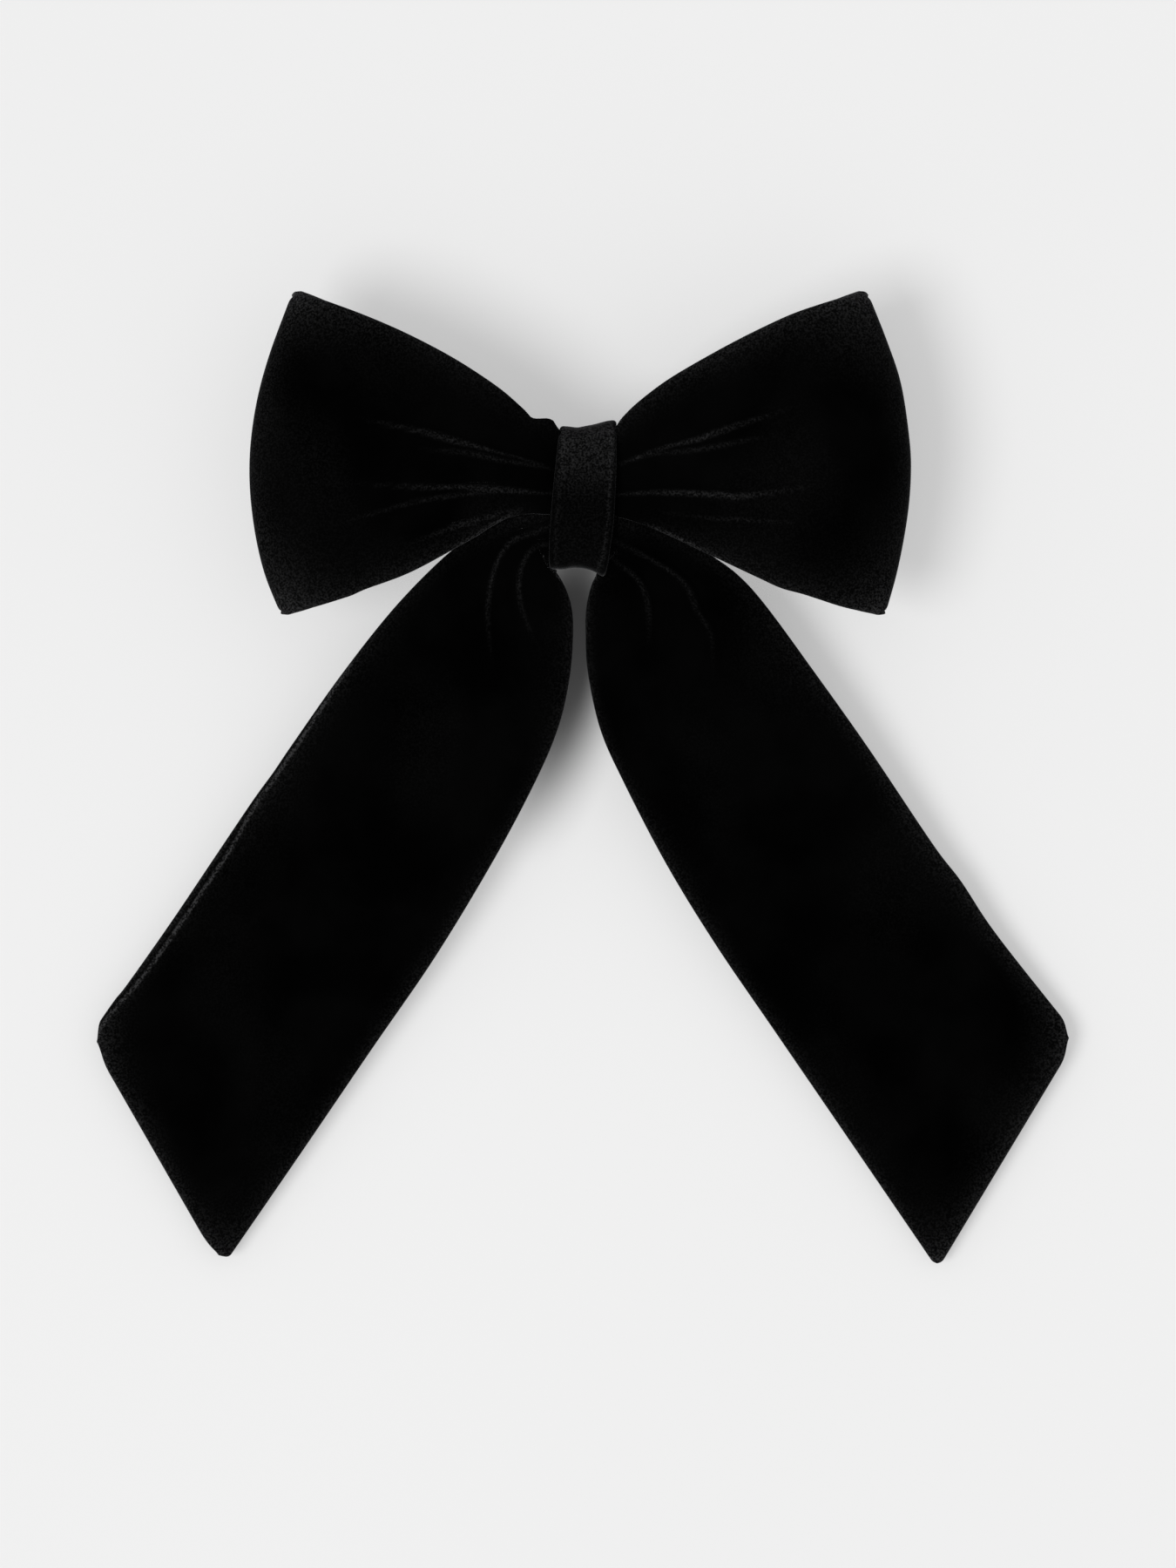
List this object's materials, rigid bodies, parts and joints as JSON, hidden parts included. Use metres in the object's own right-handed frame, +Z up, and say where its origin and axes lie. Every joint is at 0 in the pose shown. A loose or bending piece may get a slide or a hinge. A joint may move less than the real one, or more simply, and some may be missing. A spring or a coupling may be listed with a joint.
{
  "type": "hair bow",
  "caption": "Black velvet hair bow with two puffed loops, long slanted tails and a wrapped knot, on a steel barrette clip with a sprung latch.",
  "frame": {"origin": "middle of the gap that the clip closes on the hair, straight behind the middle of the knot", "axes": "+Z up as the bow is worn, +Y back towards the head, +X to the right seen from the front, along the clip towards its latch"},
  "size_m": [0.2008, 0.0298, 0.2005],
  "materials": {
    "velvet": "cut pile velvet",
    "thread": "polyester thread",
    "plated_steel": "nickel plated",
    "spring_steel": "nickel plated spring steel"
  },
  "bodies": {
    "bow": {"loop_ribbon": "velvet", "knot_band": "velvet", "gather_thread": "thread", "clip_base_bar": "plated_steel", "clip_hinge_pin": "plated_steel", "clip_tension_spring": "spring_steel", "clip_latch_base": "spring_steel", "clip_latch_rivet": "plated_steel"},
    "left_tail_body": {"left_tail": "velvet"},
    "right_tail_body": {"right_tail": "velvet"},
    "swing_arm": {"clip_swing_arm": "plated_steel"},
    "upper_wing": {"clip_latch_upper_wing": "spring_steel"},
    "lower_wing": {"clip_latch_lower_wing": "spring_steel"}
  },
  "joints": [
    {"name": "clip_arm_hinge", "type": "hinge", "parent": "bow", "child": "swing_arm", "pos_m": [-0.0387, 0.0029, 0], "axis": [0, 0, 1], "range_deg": [0, 75]},
    {"name": "latch_upper_squeeze", "type": "hinge", "parent": "bow", "child": "upper_wing", "pos_m": [0.0375, -0.00315, 0.0042], "axis": [-1, 0, 0], "range_deg": [0, 6], "stiffness_Nm_per_rad": 0.3},
    {"name": "latch_lower_squeeze", "type": "hinge", "parent": "bow", "child": "lower_wing", "pos_m": [0.0375, -0.00315, -0.0042], "axis": [1, 0, 0], "range_deg": [0, 6], "stiffness_Nm_per_rad": 0.3},
    {"name": "left_tail_swing", "type": "hinge", "parent": "bow", "child": "left_tail_body", "pos_m": [-0.0073, -0.014, -0.0088], "axis": [0, 1, 0], "range_deg": [0, 12]},
    {"name": "right_tail_swing", "type": "hinge", "parent": "bow", "child": "right_tail_body", "pos_m": [0.0073, -0.014, -0.0088], "axis": [0, -1, 0], "range_deg": [0, 12]}
  ]
}
